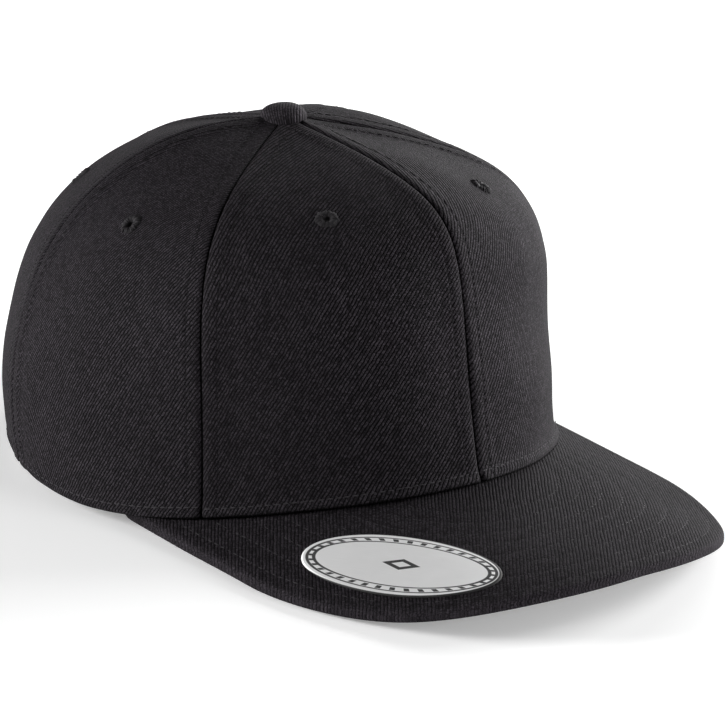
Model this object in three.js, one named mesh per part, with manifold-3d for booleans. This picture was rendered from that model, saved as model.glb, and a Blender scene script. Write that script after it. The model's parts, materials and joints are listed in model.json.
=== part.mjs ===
// A six-panel cap with a flat bill, as it rests on a table. Millimetres, +Z up, bill towards -Y, the
// wearer's left towards +X. Angles round the crown run from 0 at the front to 180 at the back.
// The cap is drawn with the middle of its front edge at height 0, then tipped and set down.
import * as THREE from 'three';
import Module from 'manifold-3d';
import { mergeVertices } from 'three/addons/utils/BufferGeometryUtils.js';

const wasm = await Module();
wasm.setup();

// Crown: five upright sections through the button, the same on both sides.
// base: radius of the lower edge. lean: outward lean of the wall at its foot, degrees.
// lower, upper: handles of the profile curve at the foot and at the top. fall: slope of the top, degrees.
const SECTIONS = [
  { at: 0, base: 95.5, lean: -10.9, lower: 88.2, upper: 107.1, fall: 8.3 },
  { at: 45, base: 90.2, lean: -8.1, lower: 77.9, upper: 117.3, fall: 11 },
  { at: 90, base: 94.1, lean: 1.8, lower: 62.4, upper: 85, fall: 1.2 },
  { at: 135, base: 94.9, lean: 11.1, lower: 52.8, upper: 81.4, fall: 0.3 },
  { at: 180, base: 104, lean: 2.4, lower: 77.7, upper: 86.3, fall: 7 },
];
const CROWN_HEIGHT = 105.1;
const WALL = 1.8;
const BACK_EDGE = -2;
const EDGE_BEVEL = 0.5;

// Seams, as angles at the foot and at the top of the crown.
const SEAMS = {
  front: { foot: 0, top: 0 },
  frontSide: { foot: 58.4, top: 59.5 },
  sideRear: { foot: 112, top: 118.5 },
  rear: { foot: 180, top: 180 },
};

// The cloth is drawn a little flat between its seams on the wall, and swells just under the button.
const TAUT = 1.4;
const SWELL = { height: 0.83, spread: 0.08, depth: 0.7 };

// One row for each kind of panel, with its eyelet's place between its seams and up the profile.
const PANELS = [
  { name: 'front', from: SEAMS.front, to: SEAMS.frontSide, eyelet: { across: 0.5, up: 0.69 } },
  { name: 'side', from: SEAMS.frontSide, to: SEAMS.sideRear, eyelet: { across: 0.5, up: 0.6 } },
  { name: 'rear', from: SEAMS.sideRear, to: SEAMS.rear, eyelet: { across: 0.5, up: 0.59 } },
];
const REAR = PANELS[2];
const PANEL_ROWS = 16;
const PANEL_COLUMNS = 12;

// Bill: a sheet that slopes down to the front and arches across, with straight sides and round corners.
const BILL = {
  slope: 0.151, arch: 0.0024, thickness: 3.6, reach: 72.5, cornerWidth: 79, cornerDepth: 88, end: 70.5, tuck: 4,
};
const CORNER_STRIPS = 10;

// Button: a covered dome on a rivet, with a washer inside the crown.
const BUTTON = {
  radius: 7.9, foot: 0.5, hem: 1.1, dome: 3.6, rivet: 1.4, washer: 4.5, washerTop: -3, washerThickness: 0.8,
};
const BUTTON_RINGS = 5;
const TOP_HOLE = 2.2;

// Eyelet: a sewn ring through the cloth, with a flange on each face.
const EYELET = { outer: 4.4, inner: 1.2, hole: 2.6, flange: 0.8, lift: 0.4 };

// Half-round opening at the back, and the strap across its foot.
const OPENING = { halfWidth: 48, height: 52 };
// Its outer layer comes from the wearer's right and laps over the inner one in the middle.
const STRAP = { foot: 3, width: 20, layer: 1.3, reach: 40, overlap: 15, step: 2.5, rows: 2 };
const SNAPS = { pitch: 6.2, studs: [-2, -1, 0, 1, 2, 3, 4], holes: [-4, -3], radius: 2.6, height: 1.5 };

// Oval sticker on the wearer's right half of the bill, its long axis turned to follow the bill's edge.
const STICKER = { long: 33, short: 14.3, x: -55, y: -117, turn: -62.5, thickness: 0.4 };
const STICKER_STRIPS = 12;
const STICKER_ROWS = 4;

const CLEARANCE = 0.3;
const BUTTON_SIDES = 24;
const SMALL_SIDES = 12;

const { degToRad, radToDeg, lerp } = THREE.MathUtils;

const BLACK_CLOTH = new THREE.MeshStandardMaterial({ color: 0x272528, roughness: 0.95, metalness: 0 });
const BLACK_THREAD = new THREE.MeshStandardMaterial({ color: 0x2c2a2d, roughness: 0.8, metalness: 0 });
const BLACK_PLASTIC = new THREE.MeshStandardMaterial({ color: 0x1c1c1d, roughness: 0.45, metalness: 0 });
const SILVER_FOIL = new THREE.MeshStandardMaterial({ color: 0xc9c9cc, roughness: 0.35, metalness: 0.6 });

// Value of a column of SECTIONS at any angle: the cosine series through its five rows.
function around(column, angle) {
  const last = SECTIONS.length - 1;
  const half = (i) => (i % last === 0 ? 0.5 : 1);
  let value = 0;
  for (let k = 0; k <= last; k++) {
    for (let j = 0; j <= last; j++) {
      const wave = Math.cos((Math.PI * j * k) / last) * Math.cos(k * degToRad(angle));
      value += SECTIONS[j][column] * half(j) * half(k) * wave * (2 / last);
    }
  }
  return value;
}

const polar = (radius, angle) => ({
  x: radius * Math.sin(degToRad(angle)),
  y: -radius * Math.cos(degToRad(angle)),
});
const billTop = ({ x, y }) => BILL.slope * (y + SECTIONS[0].base) - BILL.arch * x * x;

// Height of the crown's lower edge: on the bill's face, then in one smooth curve up to the back.
function edgeHeight(angle) {
  const onBill = Math.min(angle, BILL.end);
  const height = billTop(polar(around('base', onBill), onBill));
  return lerp(height, BACK_EDGE, THREE.MathUtils.smoothstep(angle, BILL.end, 180));
}

// Upright profile of the crown at an angle: x is the radius and y the height.
function profile(angle) {
  const lean = degToRad(around('lean', angle));
  const fall = degToRad(around('fall', angle));
  const lower = around('lower', angle);
  const upper = around('upper', angle);
  const foot = new THREE.Vector2(around('base', angle), edgeHeight(angle) + CLEARANCE);
  const top = new THREE.Vector2(0, CROWN_HEIGHT);
  const footHandle = new THREE.Vector2(lower * Math.sin(lean), lower * Math.cos(lean)).add(foot);
  const topHandle = new THREE.Vector2(upper * Math.cos(fall), -upper * Math.sin(fall)).add(top);
  return new THREE.CubicBezierCurve(foot, footHandle, topHandle, top);
}

const seamAngle = (seam, up) => lerp(seam.foot, seam.top, up);

// How far the cloth of a panel stands off the plain profile.
function swellAt(across, up) {
  const bump = Math.exp(-(((up - SWELL.height) / SWELL.spread) ** 2));
  return 4 * across * (1 - across) * (SWELL.depth * bump - TAUT * Math.sin(Math.PI * up));
}

// Point on the crown, `outward` off the profile at an angle, `up` the profile from 0 to 1.
function crownPoint(angle, up, outward) {
  const curve = profile(angle);
  const at = curve.getPoint(up);
  const along = curve.getTangent(up);
  const { x, y } = polar(at.x + along.y * outward, angle);
  return new THREE.Vector3(x, y, at.y - along.x * outward);
}

// Closed shell between two grids of points. Columns run clockwise seen from above, rows upwards.
function shellGeometry(rows, columns, outerPoint, innerPoint) {
  const positions = [];
  for (const pointAt of [outerPoint, innerPoint]) {
    for (let i = 0; i <= rows; i++) {
      for (let j = 0; j <= columns; j++) positions.push(...pointAt(i, j).toArray());
    }
  }
  const index = [];
  const quad = (a, b, c, d) => index.push(a, b, c, a, c, d);
  const outer = (i, j) => i * (columns + 1) + j;
  const inner = (i, j) => (rows + 1) * (columns + 1) + outer(i, j);
  for (let i = 0; i < rows; i++) {
    for (let j = 0; j < columns; j++) {
      quad(outer(i, j), outer(i, j + 1), outer(i + 1, j + 1), outer(i + 1, j));
      quad(inner(i, j), inner(i + 1, j), inner(i + 1, j + 1), inner(i, j + 1));
    }
    quad(outer(i, 0), outer(i + 1, 0), inner(i + 1, 0), inner(i, 0));
    quad(outer(i, columns), inner(i, columns), inner(i + 1, columns), outer(i + 1, columns));
  }
  for (let j = 0; j < columns; j++) {
    quad(outer(0, j), inner(0, j), inner(0, j + 1), outer(0, j + 1));
    quad(outer(rows, j), outer(rows, j + 1), inner(rows, j + 1), inner(rows, j));
  }
  const geometry = new THREE.BufferGeometry();
  geometry.setAttribute('position', new THREE.Float32BufferAttribute(positions, 3));
  geometry.setIndex(index);
  return geometry;
}

function toSolid(geometry) {
  const bare = geometry.clone();
  bare.deleteAttribute('normal');
  bare.deleteAttribute('uv');
  const merged = mergeVertices(bare, 1e-4);
  return new wasm.Manifold(new wasm.Mesh({
    numProp: 3,
    vertProperties: new Float32Array(merged.attributes.position.array),
    triVerts: new Uint32Array(merged.index.array),
  }));
}

function toGeometry(solid) {
  const mesh = solid.getMesh();
  const geometry = new THREE.BufferGeometry();
  geometry.setAttribute('position', new THREE.Float32BufferAttribute(mesh.vertProperties, 3));
  geometry.setIndex([...mesh.triVerts]);
  return geometry;
}

// The same geometry on the wearer's other side, with its faces turned outwards again.
function mirrored(geometry) {
  const copy = geometry.clone().scale(-1, 1, 1);
  const corners = [...copy.index.array];
  for (let i = 0; i < corners.length; i += 3) [corners[i], corners[i + 1]] = [corners[i + 1], corners[i]];
  copy.setIndex(corners);
  return copy;
}

// Point on a panel's cloth, `across` between its seams and `up` its profile, `outward` off its face.
function clothPoint(panel, across, up, outward) {
  const angle = lerp(seamAngle(panel.from, up), seamAngle(panel.to, up), across);
  return crownPoint(angle, up, swellAt(across, up) + outward);
}

// Stands a geometry drawn round the Y axis on a panel's cloth, its Y axis along the cloth's normal.
function standOnCloth(geometry, panel, across, up, outward) {
  const step = 0.01;
  const alongRow = clothPoint(panel, across + step, up, outward).sub(clothPoint(panel, across - step, up, outward));
  const upRow = clothPoint(panel, across, up + step, outward).sub(clothPoint(panel, across, up - step, outward));
  const normal = alongRow.cross(upRow).normalize();
  const turn = new THREE.Quaternion().setFromUnitVectors(new THREE.Vector3(0, 1, 0), normal);
  const place = clothPoint(panel, across, up, outward);
  return geometry.applyMatrix4(new THREE.Matrix4().compose(place, turn, new THREE.Vector3(1, 1, 1)));
}

// Half-round prism through both rear panels, open at the foot.
function openingSolid() {
  const depth = 100;
  const below = 30;
  const shape = new THREE.Shape();
  shape.moveTo(-OPENING.halfWidth, BACK_EDGE - below);
  shape.lineTo(OPENING.halfWidth, BACK_EDGE - below);
  shape.lineTo(OPENING.halfWidth, BACK_EDGE);
  shape.absellipse(0, BACK_EDGE, OPENING.halfWidth, OPENING.height, 0, Math.PI, false, 0);
  shape.closePath();
  const prism = new THREE.ExtrudeGeometry(shape, { depth, bevelEnabled: false, curveSegments: 24 });
  return toSolid(prism.rotateX(Math.PI / 2).translate(0, SECTIONS[4].base + depth / 2, 0));
}

function panelGeometry(panel) {
  const pointAt = (inward) => (i, j) => {
    const across = j / PANEL_COLUMNS;
    const middle = (seamAngle(panel.from, 1) + seamAngle(panel.to, 1)) / 2;
    const up = (i / PANEL_ROWS) * (1 - TOP_HOLE / (3 * around('upper', middle)));
    const gap = radToDeg(CLEARANCE / 2 / profile(middle).getPoint(up).x);
    const angle = lerp(seamAngle(panel.from, up) + gap, seamAngle(panel.to, up) - gap, across);
    const point = crownPoint(angle, up, swellAt(across, up) - inward);
    if (i === 0) point.z = edgeHeight(angle) + CLEARANCE + EDGE_BEVEL * inward;
    return point;
  };
  const { across, up } = panel.eyelet;
  const drill = new THREE.CylinderGeometry(EYELET.hole, EYELET.hole, 6 * WALL, SMALL_SIDES);
  let solid = toSolid(shellGeometry(PANEL_ROWS, PANEL_COLUMNS, pointAt(0), pointAt(WALL)));
  solid = solid.subtract(toSolid(standOnCloth(drill, panel, across, up, -WALL / 2)));
  if (panel.name === 'rear') solid = solid.subtract(openingSolid());
  return toGeometry(solid);
}

function eyeletGeometry(panel) {
  const { across, up } = panel.eyelet;
  const face = WALL / 2 + EYELET.lift;
  const rim = face + EYELET.flange;
  const tube = EYELET.hole - CLEARANCE;
  const rounded = (EYELET.outer + tube) / 2;
  const ring = turned([
    [EYELET.inner, -face], [rounded, -rim], [EYELET.outer, -face], [tube, -face],
    [tube, face], [EYELET.outer, face], [rounded, rim], [EYELET.inner, face], [EYELET.inner, -face],
  ], SMALL_SIDES);
  return standOnCloth(ring, panel, across, up, -WALL / 2);
}

// Places across the bill where its facets meet, each with the bill's front edge there.
function billStations() {
  const side = polar(around('base', BILL.end), BILL.end).x;
  const flat = side - BILL.cornerWidth;
  const front = -SECTIONS[0].base - BILL.reach;
  const corner = [];
  for (let i = 0; i <= CORNER_STRIPS; i++) {
    const turn = (Math.PI / 2) * (i / CORNER_STRIPS);
    const back = BILL.cornerDepth * (1 - Math.cos(turn));
    corner.push({ x: flat + BILL.cornerWidth * Math.sin(turn), front: front + back });
  }
  return [...corner.map((at) => ({ ...at, x: -at.x })).reverse(), ...corner];
}

// Rear edge of the bill, tucked under the crown's wall.
function billRear(x) {
  const end = polar(around('base', BILL.end), BILL.end).y;
  let [low, high] = [0, 90];
  while (high - low > 1e-6) {
    const middle = (low + high) / 2;
    if (polar(around('base', middle) - BILL.tuck, middle).x < Math.abs(x)) low = middle;
    else high = middle;
  }
  return Math.min(polar(around('base', low) - BILL.tuck, low).y, end);
}

function billGeometry() {
  const stations = billStations();
  const pointAt = (drop) => (i, j) => {
    const { x, front } = stations[j];
    const y = i === 0 ? front : billRear(x);
    return new THREE.Vector3(x, y, billTop({ x, y }) - drop);
  };
  return shellGeometry(1, stations.length - 1, pointAt(0), pointAt(BILL.thickness));
}

// A turned solid round the Y axis from pairs of radius and height.
function turned(pairs, sides) {
  return new THREE.LatheGeometry(pairs.map(([radius, height]) => new THREE.Vector2(radius, height)), sides);
}

function buttonGeometry() {
  const { radius, foot, hem, dome, rivet, washer, washerTop, washerThickness } = BUTTON;
  const pairs = [
    [0, washerTop - washerThickness], [washer, washerTop - washerThickness], [washer, washerTop],
    [rivet, washerTop], [rivet, foot], [radius - hem / 2, foot], [radius, foot + hem / 2],
  ];
  for (let i = 0; i <= BUTTON_RINGS; i++) {
    const turn = (Math.PI / 2) * (i / BUTTON_RINGS);
    pairs.push([i < BUTTON_RINGS ? radius * Math.cos(turn) : 0, foot + hem + dome * Math.sin(turn)]);
  }
  return turned(pairs, BUTTON_SIDES).rotateX(Math.PI / 2).translate(0, 0, CROWN_HEIGHT);
}

// Point of the strap: `turn` degrees from the back towards the wearer's left, `rise` mm above its foot
// and `depth` mm in from its outer face.
function strapPlace(turn, rise, depth) {
  const angle = 180 - Math.abs(turn);
  const up = profile(angle).getUtoTmapping(0, STRAP.foot + rise);
  const [from, to] = [REAR.from, REAR.to].map((seam) => seamAngle(seam, up));
  return [REAR, (angle - from) / (to - from), up, -WALL - CLEARANCE - depth];
}

function strapGeometry() {
  const { reach, overlap, layer, width, step, rows } = STRAP;
  const turns = [];
  for (let turn = -reach; turn <= reach; turn += step) turns.push(turn);
  const pointAt = (depthAt) => (i, j) => {
    const point = clothPoint(...strapPlace(turns[j], (width * i) / rows, depthAt(turns[j])));
    if (turns[j] < 0) point.x = -point.x;
    return point;
  };
  const outerDepth = (turn) => (turn > overlap ? layer : 0);
  const innerDepth = (turn) => (turn < -overlap ? layer : 2 * layer);
  turns.reverse();
  let strap = toSolid(shellGeometry(rows, turns.length - 1, pointAt(outerDepth), pointAt(innerDepth)));
  for (const [places, join] of [[SNAPS.studs, 'add'], [SNAPS.holes, 'subtract']]) {
    for (const place of places) {
      const turn = place * SNAPS.pitch;
      const depth = outerDepth(turn) + (join === 'add' ? -SNAPS.height / 2 + layer / 4 : layer / 2);
      const length = join === 'add' ? SNAPS.height + layer / 2 : 4 * layer;
      const pin = new THREE.CylinderGeometry(SNAPS.radius, SNAPS.radius, length, SMALL_SIDES);
      const placed = standOnCloth(pin, ...strapPlace(turn, width / 2, depth));
      strap = strap[join](toSolid(turn < 0 ? mirrored(placed) : placed));
    }
  }
  return toGeometry(strap);
}

// Thin oval that follows the bill's arch.
function stickerGeometry() {
  const along = polar(1, 90 + STICKER.turn);
  const pointAt = (lift) => (i, j) => {
    const place = Math.PI * ((j + 0.5) / (STICKER_STRIPS + 1));
    const u = -STICKER.long * Math.cos(place);
    const v = STICKER.short * Math.sin(place) * lerp(-1, 1, i / STICKER_ROWS);
    const x = STICKER.x + u * along.x - v * along.y;
    const y = STICKER.y + u * along.y + v * along.x;
    return new THREE.Vector3(x, y, billTop({ x, y }) + lift);
  };
  const top = CLEARANCE + STICKER.thickness;
  return shellGeometry(STICKER_ROWS, STICKER_STRIPS, pointAt(top), pointAt(CLEARANCE));
}

function part(name, geometry, material) {
  const mesh = new THREE.Mesh(geometry, material);
  mesh.name = name;
  return mesh;
}

const cap = new THREE.Group();
for (const panel of PANELS) {
  const left = panelGeometry(panel);
  const eyelet = eyeletGeometry(panel);
  cap.add(part(`panel_${panel.name}_left`, left, BLACK_CLOTH));
  cap.add(part(`panel_${panel.name}_right`, mirrored(left), BLACK_CLOTH));
  cap.add(part(`eyelet_${panel.name}_left`, eyelet, BLACK_THREAD));
  cap.add(part(`eyelet_${panel.name}_right`, mirrored(eyelet), BLACK_THREAD));
}
cap.add(part('bill', billGeometry(), BLACK_CLOTH));
cap.add(part('button', buttonGeometry(), BLACK_CLOTH));
cap.add(part('snap_strap', strapGeometry(), BLACK_PLASTIC));
cap.add(part('bill_sticker', stickerGeometry(), SILVER_FOIL));

// Tilt that brings the bill's front corners down to the same level as the foot of the rear panels.
function restTilt() {
  const lowest = (name, tilt) => {
    const turnedGeometry = cap.getObjectByName(name).geometry.clone().rotateX(-tilt);
    return new THREE.Box3().setFromBufferAttribute(turnedGeometry.attributes.position).min.z;
  };
  let [low, high] = [0, degToRad(15)];
  while (high - low > 1e-6) {
    const middle = (low + high) / 2;
    if (lowest('bill', middle) < lowest('panel_rear_left', middle)) low = middle;
    else high = middle;
  }
  return low;
}

// Set down with the origin under the middle of the cap's box.
const group = new THREE.Group();
group.add(cap);
cap.rotation.x = -restTilt();
const box = new THREE.Box3().setFromObject(cap, true);
const centre = box.getCenter(new THREE.Vector3());
cap.position.set(-centre.x, -centre.y, -box.min.z);

export default group;
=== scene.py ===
# A six-panel cap with a flat bill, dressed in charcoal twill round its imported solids.
# Sizes are in millimetres in the cap's own level frame, as it is drawn before it is tipped and set down:
# the bill points to -Y, the wearer's left is +X, and the middle of the front edge has height 0.
import json
import math

import bpy
import numpy as np
from mathutils import Matrix, Vector

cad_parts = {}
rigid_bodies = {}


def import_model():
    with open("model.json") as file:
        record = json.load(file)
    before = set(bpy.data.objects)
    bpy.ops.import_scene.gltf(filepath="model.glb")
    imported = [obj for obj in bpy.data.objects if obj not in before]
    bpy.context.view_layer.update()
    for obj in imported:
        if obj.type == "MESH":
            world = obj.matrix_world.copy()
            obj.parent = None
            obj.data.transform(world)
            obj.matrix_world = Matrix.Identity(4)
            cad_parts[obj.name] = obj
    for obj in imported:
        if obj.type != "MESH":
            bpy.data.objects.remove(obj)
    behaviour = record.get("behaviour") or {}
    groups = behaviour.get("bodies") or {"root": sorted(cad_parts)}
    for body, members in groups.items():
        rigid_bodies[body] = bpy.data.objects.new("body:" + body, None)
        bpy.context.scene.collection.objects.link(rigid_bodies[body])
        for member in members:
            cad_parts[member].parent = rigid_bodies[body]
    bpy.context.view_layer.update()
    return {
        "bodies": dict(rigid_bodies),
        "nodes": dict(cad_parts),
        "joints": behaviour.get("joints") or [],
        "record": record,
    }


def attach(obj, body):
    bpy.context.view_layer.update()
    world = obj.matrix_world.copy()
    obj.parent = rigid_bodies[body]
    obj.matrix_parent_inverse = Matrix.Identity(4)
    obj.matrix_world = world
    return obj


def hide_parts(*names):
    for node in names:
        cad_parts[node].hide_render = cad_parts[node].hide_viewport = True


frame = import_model()

MM = 0.001

# How the level cap is tipped back and set down on the bill's front corners and the foot of the rear panels.
REST_TILT = 5.788
REST_PLACE = (0.0, 31.996, 11.472)

# The photograph's camera, round the level cap: degrees round and above it, distance and aim.
CAMERA = {"turn": -41.468, "rise": 15.896, "roll": -0.13, "distance": 1531.6, "angle": 8.9465,
          "aim": (0.0, -38.22, 27.97)}

# Soft lights: degrees round from the bill's front and above the floor, and power in watts.
LIGHTS = (
    ("window_right", 78.5, 14, 68),
    ("window_left", 228.5, 14, 60),
    ("card_right", 18.5, 14, 21),
    ("card_behind", 120.0, 14, 25),
    ("card_above", 48.5, 42, 3),
)

# Five upright sections of the crown, from the front round to the back, the same on both sides.
SECTIONS = (
    {"at": 0, "base": 95.5, "lean": -10.9, "lower": 88.2, "upper": 107.1, "fall": 8.3},
    {"at": 45, "base": 90.2, "lean": -8.1, "lower": 77.9, "upper": 117.3, "fall": 11.0},
    {"at": 90, "base": 94.1, "lean": 1.8, "lower": 62.4, "upper": 85.0, "fall": 1.2},
    {"at": 135, "base": 94.9, "lean": 11.1, "lower": 52.8, "upper": 81.4, "fall": 0.3},
    {"at": 180, "base": 104.0, "lean": 2.4, "lower": 77.7, "upper": 86.3, "fall": 7.0},
)
CROWN_HEIGHT = 105.1
WALL = 1.8
BACK_EDGE = -2.0
FOOT_GAP = 0.3
# Where the foot sags between the bill and the back: angle, spread and depth.
FOOT_SAGS = ((84, 15, 1.35), (122, 12, -0.5))
TAUT = 1.4
SWELL = {"height": 0.83, "spread": 0.08, "depth": 0.7}
TOP_HOLE = 2.2

# Panels of one side: their seams as angles at the foot and at the top, and the lie of the twill's ribs.
PANELS = {
    "front": {"from": (0.0, 0.0), "to": (58.4, 59.5), "eyelet": (0.5, 0.69), "lips": (0.6, 0.6),
              "ribs": 56.5, "fine": 1.0, "bow": (0.0041, 0.0027, 0.0018)},
    "side": {"from": (58.4, 59.5), "to": (112.0, 118.5), "eyelet": (0.5, 0.6), "lips": (0.6, 0.5),
             "ribs": 59.0, "fine": 1.12, "bow": (0.002, 0.0, 0.0)},
    "rear": {"from": (112.0, 118.5), "to": (180.0, 180.0), "eyelet": (0.5, 0.59), "lips": (0.5, 0.5),
             "ribs": 58.0, "fine": 1.08, "bow": (0.0, 0.0, 0.0)},
}
SIDES = {"left": 1, "right": -1}

BILL = {"slope": 0.151, "arch": 0.0024, "thickness": 3.6, "reach": 73.3, "corner_width": 82.8,
        "corner_depth": 89.9, "proud": 1.0, "splay": 0.6, "behind": 13.0, "tapered": 1.5, "taper": 6.0,
        "end": 70.5, "tuck": 4.0, "roundness": 3.6, "ribs": 47.0, "weave": 0.965, "fan": 0.0012,
        "fan_from": -60.0}
# How this one bill lies askew: its sideways and forward shares, its tilt towards one side, and where
# its corners droop.
ASKEW = {"sideways": 0.0149, "forward": 0.0097, "from": 95.0, "tilt": 0.0102, "tilt_to": 165.0,
         "droop": 1.9, "droop_at": 73.9, "droop_spread": 26.0, "droop_to": 140.0}
BILL_ROWS = {"first": 5.0, "pitch": 7.0, "count": 8, "dent": 0.16, "dent_width": 0.8}

# Cloth folded under at the seams, the foot and the back opening, and its dent along a stitch row.
SEAM = {"gap": 0.24, "raise": 0.32, "width": 6.4, "stitch": 5.2}
HEM = {"lip": 0.9, "raise": 0.3, "width": 3.6, "stitch": 2.9, "flare": 1.5, "flare_spread": 2.4,
       "side_flare": 0.15, "drop": 0.35, "drop_spread": 1.5}
OPENING = {"half_width": 48.0, "height": 52.0, "lip": 0.9, "raise": 0.26, "width": 5.6, "stitch": 4.8}
DENT = {"depth": 0.3, "width": 0.4}
LIP_ROUNDNESS = 2.3
STITCH = {"pitch": 2.75, "length": 2.25, "width": 0.5, "depth": 0.34, "sink": 0.02}
BILL_STITCH = {"pitch": 3.0, "length": 2.4, "width": 0.42, "depth": 0.3, "sink": 0.05}

# Depth and length of the slight waves of a panel's cloth, the bill's cloth and the seams.
WAVES = {"panel": ((0.16, 46), (0.05, 15)), "bill": (0.12, 60), "seam": (0.06, 7)}
# Where each panel stands fuller or flatter: height and spread up its profile, and depth on each side.
FULL = {
    "front": ((0.16, 0.16, {"left": 0.0, "right": 1.2}), (0.37, 0.07, {"left": 0.95, "right": 0.0}),
              (0.11, 0.075, {"left": 1.95, "right": 0.0})),
    "side": ((0.74, 0.2, {"left": -0.3, "right": -2.3}),),
    "rear": ((0.7, 0.22, {"left": -0.9, "right": -1.5}), (0.33, 0.12, {"left": 0.0, "right": -0.65})),
}

EYELET = {"outer": 4.2, "inner": 0.95, "cut": 2.6, "rise": 0.8, "thread": 0.25, "threads": 52}
BUTTON = {"radius": 7.9, "height": 4.5, "place": (-0.5, 0.4), "squareness": 2.5, "sink": 0.3,
          "skirt": 0.25, "tuck": 0.35, "weave": 1.15, "washer": 4.5, "washer_top": -3.0,
          "washer_thickness": 0.8, "rivet": 1.4}

STRAP = {"foot": 3.0, "width": 20.0, "layer": 1.3, "reach": 40.0, "overlap": 15.0, "corner": 7.0}
SNAPS = {"pitch": 6.2, "pegs": range(-2, 5), "holes": range(-4, 3), "radius": 2.6, "height": 1.5,
         "play": 0.35, "root": 0.4}

STICKER = {"long": 33.0, "short": 14.3, "x": -55.6, "y": -117.0, "turn": -62.5, "thickness": 0.4,
           "lift": 0.045, "sunk": 0.1, "rounding": 0.12}

# The twill's ribs and the floats along them, and the height above which a panel's weave bows.
TWILL = {"pitch": 1.1, "float": 0.95, "bow_from": 62.0}

# Distances from an edge at which a grid has its close lines, and the number and spacing of its other lines.
PANEL_EDGE = (0, 0.2, 0.3, 0.45, 0.7, 1.0, 1.4, 2.2, 3.4, 4.6, 5.2, 5.8, 6.6, 7.8, 9.6)
FOOT_EDGE = (0, 0.08, 0.25, 0.5, 0.85, 1.3, 1.9, 2.5, 2.9, 3.3, 3.9, 4.8, 6.2, 8.2)
TOP_EDGE = (1.4, 0.9, 0.5, 0.2, 0.0)
PANEL_COLUMNS = 64
PANEL_STEP = 2.2
ARC_ROWS = 34
BILL_EDGE = (0, 0.012, 0.05, 0.13, 0.28, 0.5, 0.8, 1.2, 1.7, 2.4, 3.2, 4.0)
BILL_COLUMNS = 190
BILL_DEPTH_STEPS = 92
FINE_OUTLINE = 900
BAND_EDGE = {"along": (0, 0.15, 0.4, 0.8, 1.6, 3.0, 5.0), "across": (0, 0.1, 0.3, 0.6, 1.2, 2.4)}
FAR_OFF = 1e3


# Shape of the cap

def around(column, angle):
    """Value of a column of SECTIONS at any angle: the cosine series through its five rows."""
    last = len(SECTIONS) - 1
    half = [0.5 if row in (0, last) else 1.0 for row in range(last + 1)]
    value = 0.0
    for k in range(last + 1):
        weight = sum(SECTIONS[j][column] * half[j] * math.cos(math.pi * j * k / last)
                     for j in range(last + 1))
        value = value + weight * half[k] * np.cos(k * np.radians(angle)) * 2 / last
    return value


def lerp(low, high, share):
    return low + (high - low) * share


def smooth(value, low, high):
    share = np.clip((value - low) / (high - low), 0.0, 1.0)
    return share * share * (3 - 2 * share)


def bump(value, middle, width):
    return np.exp(-(((value - middle) / width) ** 2))


def fullness(across):
    """1 in a panel's middle and 0 at its seams."""
    return 4 * across * (1 - across)


def unit(vectors):
    return vectors / np.linalg.norm(vectors, axis=-1, keepdims=True)


def bill_top(x, y):
    return BILL["slope"] * (y + SECTIONS[0]["base"]) - BILL["arch"] * x * x


def bill_end():
    """Half width and y of the places where the bill leaves the crown."""
    radius, turn = around("base", BILL["end"]), math.radians(BILL["end"])
    return radius * math.sin(turn), BILL["behind"] - radius * math.cos(turn)


def bill_face(x, y, offset=0.0):
    """Points of the bill's upper face over its plan, raised by an offset."""
    droop = ASKEW["droop"] * bump(np.abs(x), ASKEW["droop_at"], ASKEW["droop_spread"])
    droop = droop * smooth(-y, ASKEW["from"], ASKEW["droop_to"])
    tilt = ASKEW["tilt"] * x * smooth(-y, ASKEW["from"], ASKEW["tilt_to"])
    sideways = ASKEW["sideways"] * (bill_end()[1] - y)
    return np.stack([x + sideways, y + ASKEW["forward"] * x, bill_top(x, y) - tilt - droop + offset], axis=-1)


def edge_height(angle):
    on_bill = np.minimum(angle, BILL["end"])
    radius = around("base", on_bill)
    turn = np.radians(on_bill)
    height = bill_top(radius * np.sin(turn), -radius * np.cos(turn))
    sag = sum(depth * bump(angle, at, spread) for at, spread, depth in FOOT_SAGS)
    return lerp(height, BACK_EDGE, smooth(angle, BILL["end"], 180)) - sag


def crown_point(angle, up, outward=0.0):
    """Points on the crown at angles from the front, `up` its profile from 0 to 1, `outward` off it."""
    lean, fall = np.radians(around("lean", angle)), np.radians(around("fall", angle))
    lower, upper = around("lower", angle), around("upper", angle)
    radii = [around("base", angle), 0.0, upper * np.cos(fall), 0.0]
    heights = [edge_height(angle) + FOOT_GAP, 0.0, CROWN_HEIGHT - upper * np.sin(fall), CROWN_HEIGHT]
    radii[1] = radii[0] + lower * np.sin(lean)
    heights[1] = heights[0] + lower * np.cos(lean)
    rest = 1 - up
    share = (rest ** 3, 3 * rest * rest * up, 3 * rest * up * up, up ** 3)
    slope = (3 * rest * rest, 6 * rest * up, 3 * up * up)
    radius = sum(s * r for s, r in zip(share, radii))
    height = sum(s * h for s, h in zip(share, heights))
    out = sum(s * (b - a) for s, a, b in zip(slope, radii, radii[1:]))
    rise = sum(s * (b - a) for s, a, b in zip(slope, heights, heights[1:]))
    length = np.hypot(out, rise)
    radius = radius + rise / length * outward
    height = height - out / length * outward
    turn = np.radians(angle)
    return np.stack([radius * np.sin(turn), -radius * np.cos(turn), height + 0 * radius], axis=-1)


def panel_angle(panel, across, up):
    """Degrees from the front of places on a panel."""
    start, end = (lerp(*panel[seam], up) for seam in ("from", "to"))
    return lerp(start, end, across)


def base_point(panel, across, up, outward=0.0):
    """Points on a panel's plain cloth, `across` between its seams and `up` its profile."""
    swell = SWELL["depth"] * bump(up, SWELL["height"], SWELL["spread"]) - TAUT * np.sin(np.pi * up)
    return crown_point(panel_angle(panel, across, up), up, fullness(across) * swell + outward)


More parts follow.
